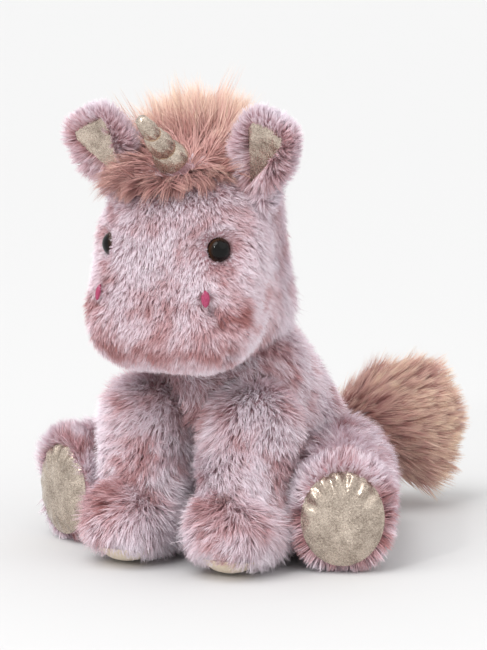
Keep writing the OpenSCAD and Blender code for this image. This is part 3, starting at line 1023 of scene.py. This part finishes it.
def build_front_legs():
    for label, s in SIDES.items():
        body = "front_leg_" + label
        shoulder = PIVOT["front_leg_swing_" + label]
        plush, stuffing = "front_leg_plush_" + label, "front_leg_stuffing_" + label
        sole = "front_sole_" + label
        swells = [((shoulder[0], -0.130, 0.062), 0.018, -0.0065),
                  ((shoulder[0] - s * 0.026, -0.108, 0.058), 0.026, -0.0030)]
        mesh = skin_mesh("front_leg_skin_" + label, (plush, stuffing, sole), 0.0028, 0.0048, 9, swells)
        add_piece(mesh, BACKING, body, (plush, stuffing))
        pad = skin_mesh("front_sole_cloth_" + label, (sole,), 0.0012, 0.0008, smooth=5)
        add_piece(pad, SOLE, body, (sole,))
        rng = np.random.default_rng(71 if s > 0 else 72)

        def above_sole(points, height=0.0055, tilt=10, start=0.098):
            """Height above the sole's seam, which rises toward the toe by tilt degrees."""
            return points[:, 2] - (height + math.tan(math.radians(tilt)) * (-(points[:, 1] + start)))

        roots = Roots(mesh, "front_leg", rng, lambda q: (above_sole(q) > 0.001).astype(float))
        p, n = roots.at, roots.normal
        down = tangent((0, -0.1, -1), n)
        ankle = np.array([shoulder[0], -0.100, 0.062])
        radial = tangent(unit(p - ankle), n)
        paw = smoothstep(0.058, 0.040, p[:, 2])[:, None]
        comb = unit(down * (1 - paw) + (0.6 * radial + 0.6 * down) * paw)
        comb = swirled(comb, n, p, 0.026, 42, 35 if s > 0 else 36)
        spots = [((shoulder[0], -0.140, 0.045), 0.018, 0.50), ((shoulder[0], -0.120, 0.085), 0.016, 0.25)]
        shade = patch_shade(p, rng, 13 if s > 0 else 17, base=0.07, swing=0.52, spots=spots)
        middle = np.exp(-(((p[:, 0] - shoulder[0]) / 0.019) ** 2)) * smoothstep(-0.105, -0.125, p[:, 1])
        seam = smoothstep(0.014, 0.003, above_sole(p))
        length = 0.0125 + 0.0030 * paw[:, 0] - 0.0080 * seam * middle
        grow("front_leg_pile_" + label, roots, body, PLUSH, rng, length,
             leaning(n, comb, 30), leaning(n, comb, 64 - 8 * paw), shade=shade, clump=5, pull=0.36,
             width=0.00055, scatter=0.17, clump_scatter=0.28)


# ---- hind legs

def foot_frame(label):
    """Placement of the foot pad: its own Z faces out of the foot, Y is up."""
    hip = Vector(PIVOT["hind_leg_splay_" + label])
    centre = centre_of("hind_pad_" + label)
    out = Vector((centre.x - hip.x, centre.y - hip.y, 0)).normalized()
    return facing(centre, out)


def build_hind_legs():
    for label, s in SIDES.items():
        body = "hind_leg_" + label
        plush, stuffing = "hind_leg_plush_" + label, "hind_leg_stuffing_" + label
        pad = "hind_pad_" + label
        place = foot_frame(label)
        inverse = np.array(place.inverted())
        out = np.array(place.col[2][:3])
        low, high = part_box(pad)
        half_tall = (high.z - low.z) / 2
        half_wide = half_tall - 0.004

        mesh = skin_mesh("hind_leg_skin_" + label, (plush, stuffing, pad), 0.003, 0.0042, smooth=10)
        add_piece(mesh, BACKING, body, (plush, stuffing))
        cloth = pad_mesh("hind_pad_cloth_" + label, place, half_wide, half_tall, s)
        add_piece(cloth, METAL, body, (pad,))
        rng = np.random.default_rng(83 if s > 0 else 84)

        def covered(points):
            """Bare under the pad, and thicker round its rim."""
            q = moved(points, inverse)
            inside = (q[:, 0] / half_wide) ** 2 + (q[:, 1] / half_tall) ** 2 < 0.97
            from_rim = np.abs(np.hypot(q[:, 0] / half_wide, q[:, 1] / half_tall) - 1.08)
            rim = np.exp(-((from_rim / 0.14) ** 2))
            return ~(inside & (q[:, 2] > -0.012)) * (1 + 0.9 * rim * (q[:, 2] > -0.014))

        roots = Roots(mesh, "hind_leg", rng, covered)
        p, n = roots.at, roots.normal
        q = moved(p, inverse)
        along = tangent(out, n)
        rim = smoothstep(-0.022, -0.004, q[:, 2])[:, None]
        radial = np.stack([q[:, 0], q[:, 1], np.zeros(len(q))], axis=1)
        radial = tangent(unit(radial) @ np.array(place)[:3, :3].T, n)
        comb = unit(along * (1 - 0.5 * rim) + radial * rim * 0.8 + tangent((0, 0, -0.25), n) * (1 - rim))
        comb = swirled(comb, n, p, 0.026, 26, 37 if s > 0 else 38)
        above_pad = np.array(place.translation) + np.array([0, 0, 0.034])
        shade = patch_shade(p, rng, 21 if s > 0 else 27, base=0.08, swing=0.60,
                            spots=[(above_pad, 0.014, 0.25)])
        length = 0.0120 - 0.0015 * rim[:, 0]
        grow("hind_leg_pile_" + label, roots, body, PLUSH, rng, length,
             leaning(n, comb, 28 - 8 * rim), leaning(n, comb, 64 - 24 * rim), shade=shade, clump=5,
             pull=0.34, width=0.00055, scatter=0.16, clump_scatter=0.26)


def pad_mesh(name, place, half_wide, half_tall, seed, rings=26, around=96):
    """A crowned oval of cloth: it bulges in the middle, is drawn in at its seam and pleats near its edge."""
    bm = bmesh.new()
    levels = []
    for j in range(rings + 1):
        r = j / rings
        row = []
        for i in range(around if j else 1):
            t = i * math.tau / around
            x, y = half_wide * r * math.cos(t), half_tall * r * math.sin(t)
            crown = 0.0062 * (1 - r ** 3.2) - 0.0020
            gather = 0.0013 * smoothstep(0.40, 0.90, r) * (1 - smoothstep(0.97, 1.0, r))
            pleat = gather * math.sin(15 * t + seed) * (0.35 + 0.65 * max(0.0, math.sin(t)))
            ripple = 0.0005 * math.sin(420 * x + 130 * y) * max(0.0, math.sin(t)) * r
            row.append(bm.verts.new((x, y, crown + float(pleat) + ripple)))
        levels.append(row)
    for low, high in zip(levels, levels[1:]):
        for i in range(around):
            m = (i + 1) % around
            if len(low) == 1:
                bm.faces.new((low[0], high[i], high[m]))
            else:
                bm.faces.new((low[i], high[i], high[m], low[m]))
    mesh = finished(bm, name)
    mesh.transform(place)
    return mesh


# ---- tail

def build_tail():
    rng = np.random.default_rng(97)
    root = PIVOT["tail_wag"]
    mesh = skin_mesh("tail_core", ("tail_hair", "tail_root"), 0.0028, 0.0045, smooth=8)
    tip = np.array(centre_of("tail_hair"))
    axis = unit((tip - root) * np.array([1, 1, 0.2]))
    add_piece(mesh, HAIR_BACKING, "tail", ("tail_hair", "tail_root"))
    roots = Roots(mesh, "tail", rng)
    p, n = roots.at, roots.normal
    spread = unit(p - (root - axis * 0.02))
    along = (p - root) @ axis
    near_root = (1 - smoothstep(0.015, 0.055, along))[:, None]
    first = unit(spread + (0.60 + 0.9 * near_root) * n)
    last = unit(spread + (0.22 + 0.55 * near_root) * n)
    shade = np.clip(0.40 + 0.7 * hash_noise(p, 0.007, 12) + rng.normal(0, 0.12, len(p)), 0, 1)
    length = 0.022 + 0.006 * hash_noise(p, 0.01, 15) - 0.009 * smoothstep(0.075, 0.105, along)
    grow("tail_pile", roots, "tail", HAIR, rng, length, first, last, clump=14, pull=0.55,
         width=0.00055, steps=5, shade=shade, scatter=0.13, clump_scatter=0.20, uneven=0.22)


# ---- neck and the parts inside

def build_neck():
    mesh = skin_mesh("neck_skin", ("neck_collar",), 0.0016, -0.0001, smooth=4)
    add_piece(mesh, BACKING, "neck", ("neck_collar",))


def paint_inside():
    """Materials for the CAD nodes that stay: bags and washers inside the toy."""
    for name, node in frame["nodes"].items():
        if node.hide_render:
            continue
        material = PELLETS if "bag" in name else WASHER if "washer" in name else STUFFING
        node.data.materials.clear()
        node.data.materials.append(material)


build_torso()
build_neck()
head_skin = build_head()
build_eyes()
build_nostrils()
build_mane(head_skin)
build_ears()
build_horn()
build_front_legs()
build_hind_legs()
build_tail()
paint_inside()
